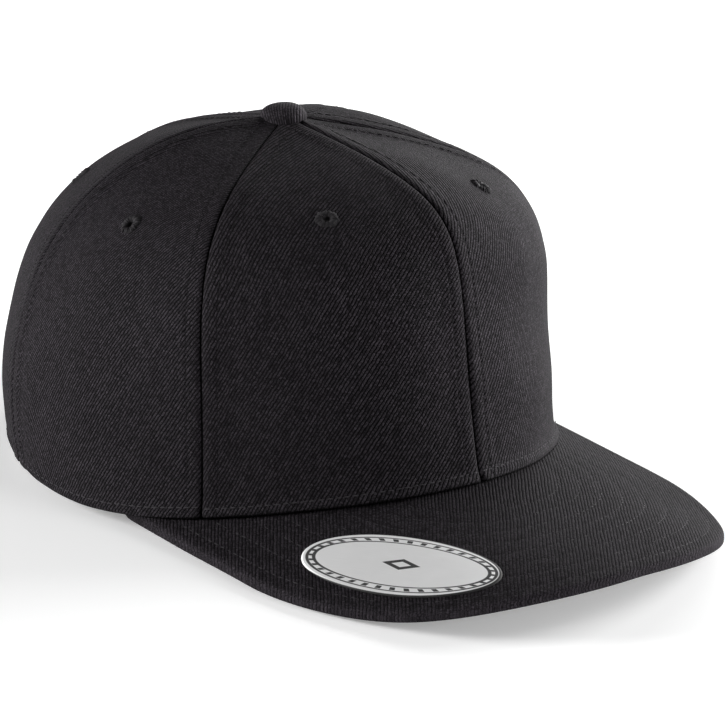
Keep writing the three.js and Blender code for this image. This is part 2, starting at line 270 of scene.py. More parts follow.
def base_normal(panel, across, up):
    """Outward directions of a panel's plain cloth, from places just beside and above each other."""
    step, highest = 0.004, 0.995
    low, high = np.clip(up - step, 0, 1), np.clip(up + step, 0, highest)
    row = base_point(panel, across + step, up) - base_point(panel, across - step, up)
    column = base_point(panel, across, high) - base_point(panel, across, low)
    return unit(np.cross(row, column))


def top_share(panel):
    """How far up its profile a panel ends, at the hole under the button."""
    middle = (panel["from"][1] + panel["to"][1]) / 2
    return 1 - TOP_HOLE / (3 * around("upper", middle))


class FlatPanel:
    """A panel with its cloth laid flat: u runs along its rows and v up its columns, in mm."""

    def __init__(self, kind):
        self.kind = kind
        self.panel = PANELS[kind]
        self.top = top_share(self.panel)
        self.columns, self.rows = 64, 160
        across, up = np.meshgrid(np.linspace(0, 1, self.columns + 1),
                                 np.linspace(0, self.top, self.rows + 1))
        points = base_point(self.panel, across, up)
        along = np.linalg.norm(np.diff(points, axis=1), axis=2)
        rise = np.linalg.norm(np.diff(points, axis=0), axis=2)
        self.u = np.pad(np.cumsum(along, axis=1), ((0, 0), (1, 0)))
        self.u -= self.u[:, self.columns // 2:self.columns // 2 + 1]
        self.v = points[0, :, 2] + np.pad(np.cumsum(rise, axis=0), ((1, 0), (0, 0)))
        self.up = up[:, 0]
        self.width = self.u[:, -1] - self.u[:, 0]
        self.middle = self.v[:, self.columns // 2]
        self.length = self.middle[-1] - self.middle[0]
        self.spread = np.sqrt(1 + np.gradient(self.width / 2, self.middle) ** 2)
        self.borders = self.find_borders()

    def flat(self, across, up):
        """Flat coordinates of points given across and up the panel."""
        column = np.clip(np.asarray(across, float), 0, 1) * self.columns
        row = np.clip(np.asarray(up, float) / self.top, 0, 1) * self.rows
        j = np.minimum(column.astype(int), self.columns - 1)
        i = np.minimum(row.astype(int), self.rows - 1)
        a, b = column - j, row - i
        mixed = []
        for grid in (self.u, self.v):
            low = lerp(grid[i, j], grid[i, j + 1], a)
            high = lerp(grid[i + 1, j], grid[i + 1, j + 1], a)
            mixed.append(lerp(low, high, b))
        return np.stack(mixed, axis=-1)

    def up_at(self, distance):
        """Share of the profile at distances in mm above the foot, in the panel's middle."""
        return np.interp(distance, self.middle - self.middle[0], self.up)

    def from_seam(self, distance, up):
        """How far across the panel a point lies at a distance in mm from its seam."""
        return distance * np.interp(up, self.up, self.spread) / np.interp(up, self.up, self.width)

    def opening_point(self, grow, turn):
        """Place on the rear panel of a point of the opening's outline, grown by some mm."""
        x = (OPENING["half_width"] + grow) * np.cos(turn)
        z = BACK_EDGE + (OPENING["height"] + grow) * np.sin(turn)
        across, up = 0.5 + 0 * x, 0.3 + 0 * x
        step, rounds = 1e-3, 25
        for _ in range(rounds):
            point = base_point(self.panel, across, up)
            right = (base_point(self.panel, across + step, up) - point) / step
            above = (base_point(self.panel, across, up + step) - point) / step
            miss_x, miss_z = x - point[..., 0], z - point[..., 2]
            area = right[..., 0] * above[..., 2] - right[..., 2] * above[..., 0]
            across = across + (miss_x * above[..., 2] - miss_z * above[..., 0]) / area
            up = up + (right[..., 0] * miss_z - right[..., 2] * miss_x) / area
            across, up = np.clip(across, -0.2, 1.2), np.clip(up, -0.2, 0.95)
        return across, up

    def find_borders(self):
        """Flat outlines of the panel's edges: its two seams, its foot and the back opening."""
        everywhere = np.linspace(0, self.top, 240)
        low, foot_end, opening = 0.0, 1.0, None
        if self.kind == "rear":
            turns = np.linspace(0.0, math.pi / 2, 240)
            across, up = self.opening_point(0.0, turns)
            self.arc_across, self.arc_up = across[up >= 0], up[up >= 0]
            self.arc_across[-1], low = 1.0, self.arc_up[-1]
            foot_end = self.arc_across[0]
            opening = self.flat(self.arc_across, self.arc_up)
        rear = everywhere[everywhere >= low]
        foot = np.linspace(0, foot_end, 160)
        return {
            "near": [self.flat(0 * everywhere, everywhere)],
            "far": [self.flat(0 * rear + 1, rear)],
            "hem": [self.flat(foot, 0 * foot)],
            "opening": [] if opening is None else [opening],
        }

    def last_across(self, up):
        """How far across the cloth goes at a height: less than 1 beside the opening."""
        if self.kind != "rear":
            return np.ones_like(up)
        return np.where(up < self.arc_up[-1], np.interp(up, self.arc_up, self.arc_across), 1.0)

    def distance(self, border, flat):
        """Distance in mm from flat points to a border, far off where there is none."""
        near = np.full(flat.shape[:-1], FAR_OFF)
        for line in self.borders[border]:
            near = np.minimum(near, line_distance(flat, line))
        return near


def line_distance(points, line):
    """Distance of flat points to an open line, some points at a time to save memory."""
    start, step = line[:-1], np.diff(line, axis=0)
    long = np.maximum((step * step).sum(-1), 1e-9)
    flat, batch = points.reshape(-1, 2), 2000
    near = np.empty(len(flat))
    for k in range(0, len(flat), batch):
        offset = flat[k:k + batch, None] - start
        share = np.clip((offset * step).sum(-1) / long, 0, 1)
        near[k:k + batch] = np.linalg.norm(offset - share[..., None] * step, axis=-1).min(-1)
    return near.reshape(points.shape[:-1])


def ripple(u, v, seed, length):
    """Smooth uneven height, about -1 to 1, from a few slanted waves of a fixed seed."""
    random = np.random.default_rng(seed)
    total, waves = 0.0, 6
    for _ in range(waves):
        heading, phase = random.uniform(0, 2 * math.pi, 2)
        wave = length * random.uniform(0.7, 1.5)
        total = total + np.sin(2 * math.pi * (u * math.cos(heading) + v * math.sin(heading)) / wave + phase)
    return total / math.sqrt(waves)


def lip(distance, radius, power=2.0):
    """Fall of cloth that turns in at an edge: 0 away from it, -radius on it."""
    rest = np.clip(1 - distance / radius, 0, 1)
    return radius * ((1 - rest ** power) ** (1 / power) - 1)


def folded(distance, sizes):
    """Cloth raised over the layers folded under an edge, and drawn in along its stitch row."""
    far = 1 - smooth(distance, sizes["width"] - 0.6, sizes["width"] + 0.9)
    dent = DENT["depth"] * bump(distance, sizes["stitch"], DENT["width"])
    return sizes["raise"] * smooth(distance, 0.5, 1.5) * far - dent


def edge_distances(flat_panel, flat):
    """Distances to a panel's two seams, its foot and the opening, the seams a little uneven."""
    depth, length = WAVES["seam"]
    uneven = depth * ripple(flat[..., 0], flat[..., 1], 5, length) * (0.5 + 0.5 * np.sin(flat[..., 1] * 0.9))
    near, far, *others = [flat_panel.distance(name, flat) for name in ("near", "far", "hem", "opening")]
    return *(seam + uneven * smooth(seam, 0.05, 0.3) for seam in (near, far)), *others


def turned_in(flat_panel, distances, inside=False):
    """Fall of a panel's outer or inner face where it turns in at its edges."""
    radii = np.array([*flat_panel.panel["lips"], HEM["lip"], OPENING["lip"]])
    gaps = (SEAM["gap"], SEAM["gap"], 0.0, 0.0)
    if inside:
        radii, gaps = WALL - radii, (0.0,) * 4
    return np.minimum.reduce([lip(np.maximum(distance - gap, 0), radius, LIP_ROUNDNESS)
                              for distance, radius, gap in zip(distances, radii, gaps)])


def panel_seed(kind, side):
    return 11 * list(PANELS).index(kind) + 5 * SIDES[side] + 20


def beside_bill(angle, before, after):
    """1 where the crown stands on the bill, falling to 0 between two angles about its end."""
    return 1 - smooth(angle, BILL["end"] - before, BILL["end"] + after)


def panel_relief(flat_panel, across, up, side):
    """How far a panel's finished face stands off its plain cloth."""
    seed = panel_seed(flat_panel.kind, side)
    flat = flat_panel.flat(across, up)
    u, v = flat[..., 0], flat[..., 1]
    distances = edge_distances(flat_panel, flat)
    near, far, hem, opening = distances
    seam = np.minimum(near, far)
    on_bill = beside_bill(panel_angle(flat_panel.panel, across, up), 6, 12)
    at_foot = folded(hem, HEM)
    height = np.maximum(folded(seam, SEAM), at_foot) + np.minimum(0, at_foot)
    height = height + folded(opening, OPENING) * smooth(opening, 0.2, 0.6)
    flare = HEM["flare"] * lerp(HEM["side_flare"], 1.0, on_bill)
    height = height + flare * bump(hem, 0, HEM["flare_spread"])
    for shift, (depth, length) in zip((0, 50), WAVES["panel"]):
        height = height + depth * ripple(u, v, seed + shift, length)
    for middle, spread, depth in FULL[flat_panel.kind]:
        height = height + depth[side] * fullness(across) * bump(up, middle, spread)
    return height * smooth(np.minimum(seam, opening), -0.6, 1.4) + turned_in(flat_panel, distances)


def finished_point(flat_panel, across, up, side, sink=0.0):
    """Points and outward directions on a panel's finished face."""
    normal = base_normal(flat_panel.panel, across, up)
    height = panel_relief(flat_panel, across, up, side) - sink
    return base_point(flat_panel.panel, across, up) + normal * height[..., None], normal


# Placing things on the floor and in the scene

TIP = Matrix.Rotation(math.radians(-REST_TILT), 3, "X")


def tipped(points):
    return np.asarray(points, float) @ np.array(TIP).T


def seated(points):
    """Points of the level cap in mm, tipped and set down, in metres."""
    return (tipped(points) + REST_PLACE) * MM


def add_object(name, data):
    piece = bpy.data.objects.new(name, data)
    bpy.context.scene.collection.objects.link(piece)
    return piece


def make_mesh(name, points, faces, cloth=None, edges=()):
    """A mesh from level points in mm. The first two columns of cloth are each point's place in the weave,
    and the other two, if there, are its share rubbed smooth and lighter, partly a painted highlight, and its
    share of painted shade, which below 0 is a painted highlight."""
    mesh = bpy.data.meshes.new(name)
    mesh.from_pydata(seated(points).tolist(), [tuple(map(int, edge)) for edge in edges],
                     [tuple(map(int, face)) for face in faces])
    if cloth is not None:
        corners = np.empty(len(mesh.loops), int)
        mesh.loops.foreach_get("vertex_index", corners)
        for k, label in zip(range(0, cloth.shape[1], 2), ("cloth", "wear")):
            layer = mesh.uv_layers.new(name=label)
            layer.data.foreach_set("uv", cloth[corners, k:k + 2].ravel())
    mesh.polygons.foreach_set("use_smooth", [True] * len(mesh.polygons))
    mesh.update()
    return mesh


def finish_piece(piece, material, replaces=()):
    """Gives a finished piece its material and body, and hides the parts it replaces."""
    piece.data.materials.clear()
    piece.data.materials.append(material)
    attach(piece, "root")
    if replaces:
        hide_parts(*replaces)


def bowed(u, v, front, bow):
    """Cloth coordinates of a panel whose weave is drawn askew towards its front seam and its top."""
    high = np.maximum(0, v - TWILL["bow_from"])
    return u - bow[0] * front * u * u / 2, v + bow[1] * u * front * high + bow[2] * high * high / 2


def weave(u, v, ribs, shift=0.0):
    """Turns flat cloth coordinates so that the first runs across the twill's ribs and the second along."""
    turn = math.radians(ribs)
    across = u * math.sin(turn) - v * math.cos(turn)
    along = u * math.cos(turn) + v * math.sin(turn)
    return np.stack([across, along], axis=-1) + shift


# Adds to cloth coordinates the share rubbed smooth and lighter, partly a painted highlight, and the share of
# painted shade, which below 0 is a painted highlight.
def with_wear_and_painted_light(cloth, rubbed_and_highlit, dark):
    return np.concatenate([cloth, rubbed_and_highlit[..., None], dark[..., None]], axis=-1)


def grid_faces(rows, columns):
    """Quads of a grid of points, rows upwards and columns to the right seen from outside."""
    i, j = np.meshgrid(np.arange(rows), np.arange(columns), indexing="ij")
    a = (i * (columns + 1) + j).ravel()
    return np.stack([a, a + 1, a + columns + 2, a + columns + 1], axis=1)


def closed_wall(outer, inner, cloth=None):
    """Points, faces and weave of a wall between two grids that share their border."""
    rows, columns = outer.shape[:2]
    index = np.arange(rows * columns).reshape(rows, columns)
    inside = index + rows * columns
    for part in (np.s_[0, :], np.s_[-1, :], np.s_[:, 0], np.s_[:, -1]):
        inside[part] = index[part]
    front = grid_faces(rows - 1, columns - 1)
    back = inside.ravel()[front][:, ::-1]
    used, faces = np.unique(np.concatenate([front, back]), return_inverse=True)
    points = np.concatenate([outer.reshape(-1, 3), inner.reshape(-1, 3)])
    if cloth is not None:
        cloth = np.concatenate([cloth.reshape(-1, cloth.shape[-1])] * 2)[used]
    return points[used], faces.reshape(-1, 4), cloth


def apply_modifiers(piece):
    """Turns what a piece's modifiers make into its own plain mesh."""
    bpy.context.view_layer.update()
    evaluated = piece.evaluated_get(bpy.context.evaluated_depsgraph_get())
    mesh = bpy.data.meshes.new_from_object(evaluated)
    piece.modifiers.clear()
    piece.data = mesh
    mesh.polygons.foreach_set("use_smooth", [True] * len(mesh.polygons))


def turned_faces(rings, sides):
    """Faces of a solid turned round Z: its points are a low end, rings upwards and a high end."""
    faces = []
    top = (rings - 1) * sides
    for j in range(sides):
        k = (j + 1) % sides
        faces.append((0, 1 + k, 1 + j))
        for low in range(1, top, sides):
            high = low + sides
            faces.append((low + j, low + k, high + k, high + j))
        faces.append((1 + top + j, 1 + top + k, 1 + top + sides))
    return faces


def ring_turns(sides):
    return np.linspace(0, 2 * math.pi, sides, endpoint=False)


def ring_solid(pairs, sides):
    """Points and faces of a turned solid, from pairs of radius and height that start and end on its axis."""
    rings = [(radius * np.cos(turn), radius * np.sin(turn), height)
             for radius, height in pairs[1:-1] for turn in ring_turns(sides)]
    points = [(0, 0, pairs[0][1]), *rings, (0, 0, pairs[-1][1])]
    return np.array(points, float), turned_faces(len(pairs) - 2, sides)


def stand(points, place, right, above, normal):
    """Points drawn round Z, stood at a place with Z along its normal."""
    return place + points[:, :1] * right + points[:, 1:2] * above + points[:, 2:] * normal


def cut_hole(piece, frame, radius, depth, sides):
    """Cuts a round hole through a piece, along the normal of a place's frame."""
    points, faces = ring_solid([(0, -depth), (radius, -depth), (radius, depth), (0, depth)], sides)
    cutter = add_object("cutter", make_mesh("cutter", stand(points, *frame), faces))
    modifier = piece.modifiers.new("cut", "BOOLEAN")
    modifier.operation, modifier.solver, modifier.object = "DIFFERENCE", "EXACT", cutter
    apply_modifiers(piece)
    bpy.data.objects.remove(cutter)


# Shader and geometry trees

class Wire:
    """An output of a node. Arithmetic on it adds Math nodes."""

    def __init__(self, net, socket):
        self.net, self.socket = net, socket

    def math(self, operation, *values):
        return self.net.node("ShaderNodeMath", {"operation": operation}, *values)

    def __add__(self, other):
        return self.math("ADD", self, other)

    def __mul__(self, other):
        return self.math("MULTIPLY", self, other)

    def __sub__(self, other):
        return self.math("SUBTRACT", self, other)

    def __rsub__(self, other):
        return self.math("SUBTRACT", other, self)

    def __truediv__(self, other):
        return self.math("DIVIDE", self, other)

    __radd__, __rmul__ = __add__, __mul__

    def wave(self):
        return self.math("SINE", self)

    def size(self):
        return self.math("ABSOLUTE", self)

    def power(self, exponent):
        return self.math("POWER", self, exponent)

    def whole(self):
        return self.math("FLOOR", self)

    def least(self, other):
        return self.math("MINIMUM", self, other)

    def between(self, low, high):
        """0 below low, 1 above high, and smooth between."""
        return self.net.node("ShaderNodeMapRange", {"interpolation_type": "SMOOTHSTEP"}, self, low, high)

    def output(self, name):
        return Wire(self.net, self.socket.node.outputs[name])

    def into(self, node, name):
        self.net.tree.links.new(self.socket, node.inputs[name])


class Net:
    """The nodes of one tree."""

    def __init__(self, tree):
        self.tree = tree

    def feed(self, node, inputs):
        """Gives a node's inputs their wires or values."""
        for key, value in inputs:
            if isinstance(value, Wire):
                value.into(node, key)
            elif value is not None:
                node.inputs[key].default_value = value
        return Wire(self, node.outputs[0])

    def node(self, kind, settings=None, *values, **named):
        """Adds a node of a kind, with its settings and the values or wires of its inputs."""
        node = self.tree.nodes.new(kind)
        for key, value in (settings or {}).items():
            setattr(node, key, value)
        return self.feed(node, [*enumerate(values),
                                *((key.replace("_", " "), value) for key, value in named.items())])

    def mix_colour(self, share, low, high):
        mixed = self.node("ShaderNodeMix", {"data_type": "RGBA"})
        self.feed(mixed.socket.node, ((0, share), (6, low), (7, high)))
        return mixed.output(2)

    def noise(self, place, scale, detail=2.0, stretch=(1, 1, 1)):
        spread = self.node("ShaderNodeMapping", None, place, None, None, stretch)
        return self.node("ShaderNodeTexNoise", None, spread, None, scale, detail)

    def layer(self, name):
        """A UV layer's place and its two parts."""
        place = self.node("ShaderNodeUVMap", {"uv_map": name})
        parts = self.node("ShaderNodeSeparateXYZ", None, place)
        return place, parts.output("X"), parts.output("Y")

    def bend(self, shader, strength, depth, height):
        """Relief of some mm on a shader."""
        self.node("ShaderNodeBump", None, strength, depth * MM, Height=height).into(shader, "Normal")


def grey(value, warmth=0.0):
    return (value * (1 + warmth), value, value * (1 + warmth * 1.2), 1.0)


def new_material(name, roughness, specular):
    """A material with its constant values on the shader's own sockets."""
    material = bpy.data.materials.new(name)
    material.use_nodes = True
    shader = next(node for node in material.node_tree.nodes if node.type == "BSDF_PRINCIPLED")
    shader.inputs["Roughness"].default_value = roughness
    shader.inputs["Specular IOR Level"].default_value = specular
    return material, Net(material.node_tree), shader


def twill(name, ridge, valley, gloss=0.065, ribbing=1.0):
    """Wool-like twill: slanted ribs made of short floats, each a little lighter or darker than the next.
    Ridge is the tone of the ribs and valley the share of light left between them."""
    material, net, shader = new_material(name, 0.8, gloss)
    place, across, along = net.layer("cloth")
    _, rubbed_and_highlit, dark = net.layer("wear")

    drift = net.noise(place, 0.05) - 0.5
    waver = net.noise(place, 0.5) - 0.5
    rib = (across + drift * 1.1 + waver * 0.7) * (1 / TWILL["pitch"])
    step = along * (1 / TWILL["float"]) + rib.whole() * 0.37 + waver * 0.8
    crest, float_shape = ((count * math.pi).wave().size() for count in (rib, step))
    cell = net.node("ShaderNodeCombineXYZ", None, rib.whole(), step.whole(), 0.0)
    chance = net.node("ShaderNodeTexWhiteNoise", {"noise_dimensions": "2D"}, Vector=cell)
    fibre = net.noise(place, 1.0, 3.0, (6.5, 1.7, 1.0))
    grain = net.noise(place, 1.7, 2.0).between(0.34, 0.66)
    fuzz = net.noise(place, 2.4, 1.0).between(0.3, 0.7)
    patch = net.noise(place, 0.035, 3.0)

    light = crest.between(0.15, 0.9) * ribbing + 0.5 * (1 - ribbing)
    light = light * (0.4 + float_shape * 0.3 + chance * 1.1) * (0.1 + grain * 0.7 + fuzz * 0.85)
    light = light * (0.45 + fibre * 1.1) * (0.8 + patch * 0.4)
    # Rubbed edges lose their ribs and turn lighter: wear, and the lightening is partly a painted highlight
    # along the edges.
    light = light * (1 - rubbed_and_highlit) + rubbed_and_highlit * (0.2 + fuzz * 0.55 + grain * 0.35)
    # Painted shade: where the dark share is above 0, the cloth is darkened in seam grooves, along stitch
    # dents and where the crown meets the bill. Below 0 it is a painted highlight that lightens the bill's
    # rim.
    painted_shade = dark.between(fuzz * 0.4, fuzz * 0.4 + 0.6)
    light = (light + valley) * (1 - painted_shade * 0.94) * (1 - dark.least(0.0))
    tone = tuple(grey(ridge, 0.15)[:3])
    net.node("ShaderNodeVectorMath", {"operation": "SCALE"}, tone, Scale=light).into(shader, "Base Color")

    height = crest.between(0.05, 0.95) * (0.6 + chance * 0.25 + float_shape * 0.25) + fibre * 0.4
    height = height * (1 - rubbed_and_highlit * 0.6) + rubbed_and_highlit * fuzz * 0.4 + fuzz * 0.15
    net.bend(shader, 1.0, 0.22, height)
    return material


def thread(name, tone, roughness=0.75, specular=0.08):
    """Twisted sewing thread."""
    material, net, shader = new_material(name, roughness, specular)
    fibre = net.noise(net.node("ShaderNodeTexCoord").output("Object"), 2600.0, 2.0)
    net.mix_colour(fibre, grey(tone * 0.55, 0.08), grey(tone * 1.5, 0.08)).into(shader, "Base Color")
    net.bend(shader, 0.6, 0.08, fibre)
    return material


def moulded_plastic(name, tone):
    """Satin moulded plastic with fine grain and faint handling marks."""
    material, net, shader = new_material(name, 0.42, 0.45)
    place = net.node("ShaderNodeTexCoord").output("Object")
    grain = net.noise(place, 1800.0, 2.0)
    smear = net.noise(place, 60.0, 3.0)
    net.mix_colour(smear, grey(tone * 0.8), grey(tone * 1.3)).into(shader, "Base Color")
    (smear * 0.2 + 0.33 + grain * 0.08).into(shader, "Roughness")
    net.bend(shader, 0.5, 0.03, grain)
    return material


def foil(name):
    """Brushed silver foil with a dark edge, a ticked border between two lines and a small lozenge."""
    material, net, shader = new_material(name, 0.34, 0.5)
    place, u, v = net.layer("cloth")
    long, short = STICKER["long"], STICKER["short"]

    def oval(inset, shift=0.0):
        """Rises through 1 at an oval set in from the rim by some mm."""
        a, b = long - inset, short - inset
        return ((u + shift) * (u + shift) * (1 / a ** 2) + v * v * (1 / b ** 2)).power(0.5)

    def line(inset, width):
        return 1 - ((oval(inset) - 1).size() * (short - inset)).between(width * 0.5, width * 0.5 + 0.12)

    def diamond(half):
        return 1 - (u.size() * 0.42 + v.size()).between(half, half + 0.15)

    brushed = net.noise(place, 1.0, 4.0, (0.12, 9.0, 1.0))
    cloudy = net.noise(place, 0.12, 2.0)
    silver = net.mix_colour(brushed * 0.7 + cloudy * 0.3, grey(0.86), grey(1.0))
    turn = v.math("ARCTAN2", v * (long / short), u)
    ticks = (turn * 36.0).wave().between(0.25, 0.45)
    band = oval(3.4).between(0.985, 1.0) * (1 - oval(2.1).between(0.985, 1.0))
    ink = (line(1.8, 0.3) + line(4.0, 0.3) + ticks * band + diamond(2.6) - diamond(1.3)).least(1.0)
    rim = oval(0.45, 0.6).between(0.994, 1.008)
    printed = net.mix_colour(ink, silver, grey(0.035))
    net.mix_colour(rim, printed, grey(0.012)).into(shader, "Base Color")
    ((1 - rim) * (1 - ink) * 0.9).into(shader, "Metallic")
    (brushed * 0.2 + 0.6).into(shader, "Roughness")
    net.bend(shader, 0.35, 0.03, brushed)
    return material


def plain_floor(name, tone):
    material, _, shader = new_material(name, 0.9, 0.1)
    shader.inputs["Base Color"].default_value = grey(tone)
    shader.inputs["Emission Color"].default_value = grey(1.0)
    shader.inputs["Emission Strength"].default_value = 0.25
    return material


def new_tree(name, **inputs):
    """The net of a geometry tree and the wires of its named inputs."""
    tree = bpy.data.node_groups.new(name, "GeometryNodeTree")
    tree.interface.new_socket("Geometry", in_out="OUTPUT", socket_type="NodeSocketGeometry")
    inputs = {"Geometry": "Geometry", **inputs, "Material": "Material"}
    for label, kind in inputs.items():
        tree.interface.new_socket(label, in_out="INPUT", socket_type=f"NodeSocket{kind}")
    net = Net(tree)
    source = tree.nodes.new("NodeGroupInput")
    return net, {label: Wire(net, source.outputs[label]) for label in inputs}


def end_tree(net, geometry, material):
    """Ends a tree with real geometry in its material."""
    real = net.node("GeometryNodeRealizeInstances", None, geometry)
    shaded = net.node("GeometryNodeSetMaterial", None, real, Material=material)
    shaded.into(net.tree.nodes.new("NodeGroupOutput"), 0)
    return net.tree


def run_tree(piece, tree, **values):
    """Runs a geometry tree on a piece, with its inputs set by identifier, and keeps the plain mesh."""
    modifier = piece.modifiers.new(tree.name, "NODES")
    modifier.node_group = tree
    for item in tree.interface.items_tree:
        if item.in_out == "INPUT" and item.name in values:
            modifier[item.identifier] = values[item.name]
    apply_modifiers(piece)


def upright_rotation(net):
    """Rotation that turns Z along the stored direction of each point's face."""
    face = net.node("GeometryNodeInputNamedAttribute", {"data_type": "FLOAT_VECTOR"}, "face")
    return net.node("FunctionNodeAlignRotationToVector", {"axis": "Z"}, Vector=face)


def end_with_copies(net, given, points, copy, rotation, low, high):
    """Ends a tree with a copy on every point, each of its own size between two limits."""
    vary = net.node("FunctionNodeRandomValue", {"data_type": "FLOAT_VECTOR"}, Vector(low), Vector(high),
                    Seed=given["Seed"])
    placed = net.node("GeometryNodeInstanceOnPoints", None, points, Instance=copy, Rotation=rotation,
                      Scale=vary)
    return end_tree(net, placed, given["Material"])


def stitch_tree():
    """Stitches laid end to end along every path of a mesh, flat on the face that it follows."""
    net, given = new_tree("stitch_rows", Pitch="Float", Length="Float", Width="Float", Depth="Float",
                          Seed="Int")
    curve = net.node("GeometryNodeMeshToCurve", None, given["Geometry"])
    points = net.node("GeometryNodeResampleCurve", {"mode": "LENGTH"}, curve, Length=given["Pitch"])
    ball = net.node("GeometryNodeMeshUVSphere", None, 8, 5, 0.5)
    size = net.node("ShaderNodeCombineXYZ", None, given["Length"], given["Width"], given["Depth"])
    stitch = net.node("GeometryNodeTransform", None, ball, Scale=size)
    turned = net.node("FunctionNodeAlignRotationToVector", {"axis": "X", "pivot_axis": "Z"},
                      upright_rotation(net), Vector=net.node("GeometryNodeInputTangent"))
    return end_with_copies(net, given, points, stitch, turned, (0.78, 0.7, 0.35), (1.08, 1.2, 1.3))


def eyelet_tree():
    """Threads wound round the edge of a hole, set round the Z axis."""
    net, given = new_tree("wound_eyelet", Threads="Int", Middle="Float", Across="Float", Down="Float",
                          Thickness="Float", Seed="Int")
    loop = net.node("GeometryNodeCurvePrimitiveCircle", {"mode": "RADIUS"}, 14, Radius=1.0)
    size = net.node("ShaderNodeCombineXYZ", None, given["Across"], given["Down"], 1.0)
    flat = net.node("GeometryNodeTransform", None, loop, Scale=size)
    upright = net.node("GeometryNodeTransform", None, flat, Rotation=(math.pi / 2, 0.0, 0.0))
    offset = net.node("ShaderNodeCombineXYZ", None, given["Middle"], 0.0, 0.0)
    moved = net.node("GeometryNodeTransform", None, upright, Translation=offset)
    section = net.node("GeometryNodeCurvePrimitiveCircle", {"mode": "RADIUS"}, 5, Radius=given["Thickness"])
    strand = net.node("GeometryNodeCurveToMesh", None, moved, section)
    points = net.node("GeometryNodePoints", None, given["Threads"])
    turn = net.node("GeometryNodeInputIndex") * (2 * math.pi) / given["Threads"]
    heading = net.node("ShaderNodeCombineXYZ", None, 0.0, 0.0, turn)
    return end_with_copies(net, given, points, strand, heading, (0.9, 0.9, 0.8), (1.08, 1.08, 1.16))


def peg_tree():
    """A snap peg stood on every point of a mesh."""
    net, given = new_tree("snap_pegs", Peg="Object")
    peg = net.node("GeometryNodeObjectInfo", {"transform_space": "ORIGINAL"}, given["Peg"]).output("Geometry")
    placed = net.node("GeometryNodeInstanceOnPoints", None, given["Geometry"], Instance=peg,
                      Rotation=upright_rotation(net))
    return end_tree(net, placed, given["Material"])


# Pieces

def edge_steps(distances, width, total):
    """Distances from one end to the other, close together at both ends."""
    distances = np.asarray(distances, float)
    least_middle = 8
    near = distances * min(1.0, width / (2 * distances[-1] + least_middle))
    count = max(2, total - 2 * len(distances) + 1)
    middle = np.linspace(near[-1], width - near[-1], count + 1)[1:-1]
    return np.concatenate([near, middle, width - near[::-1]])


def panel_rows(flat_panel):
    """Heights of a panel's rows, as shares of its profile."""
    foot = flat_panel.up_at(np.array(FOOT_EDGE))
    body = flat_panel.up_at(np.arange(FOOT_EDGE[-1] + PANEL_STEP, flat_panel.length - 2, PANEL_STEP))
    top = flat_panel.up_at(flat_panel.length - np.array(TOP_EDGE))
    rows = [foot, body, top]
    if flat_panel.kind == "rear":
        arc = flat_panel.arc_up
        evenly = np.linspace(0, math.pi / 2, ARC_ROWS)[4:]
        share = np.interp(evenly, np.linspace(0, math.pi / 2, len(arc)), arc)
        above = arc[-1] + flat_panel.up_at(1.0) * np.array(FOOT_EDGE[1:])
        rows = [foot, body[body < share[0]], share, above, body[body > above[-1]], top]
    rows = np.unique(np.round(np.concatenate(rows), 6))
    return rows[np.insert(np.diff(rows) > 2e-5, 0, True)]


def panel_grid(flat_panel):
    """Places of a panel's vertices: rows and columns of shares across and up."""
    grid = []
    rows = panel_rows(flat_panel)
    for up in rows:
        width, spread = (np.interp(up, flat_panel.up, values)
                         for values in (flat_panel.width, flat_panel.spread))
        last = float(flat_panel.last_across(np.array(up)))
        grid.append(edge_steps(np.array(PANEL_EDGE) * spread, width * last, PANEL_COLUMNS) / width)
    across = np.array(grid)
    return across, np.repeat(rows[:, None], across.shape[1], axis=1)


def panel_wear_and_painted_light(distances, on_bill):
    """Shares of a panel's cloth that are rubbed smooth and lighter at its edges, the lightening partly a
    painted highlight, and of painted shade in its seam grooves, along its seam stitch rows and at its foot
    beside the bill.
    """
    near, far, hem, opening = distances
    seam = np.minimum(near, far)
    # Lighter, smoother cloth at the foot, the back opening and the seam lips: wear, and partly a painted
    # highlight on the edges.
    rubbed_and_highlit = 0.5 * np.exp(-np.minimum(hem, opening) / 0.7) + 0.25 * bump(seam, 1.2, 0.9)
    # Painted shade in the seam grooves and along the seam stitch rows, and at the foot where the crown sits
    # on the bill.
    dark = 1 - smooth(seam, 0.15, 0.5) * (1 - 0.4 * bump(seam, SEAM["stitch"], 0.45))
    return rubbed_and_highlit, np.maximum(dark, 0.8 * on_bill * bump(hem, 0, 0.75))


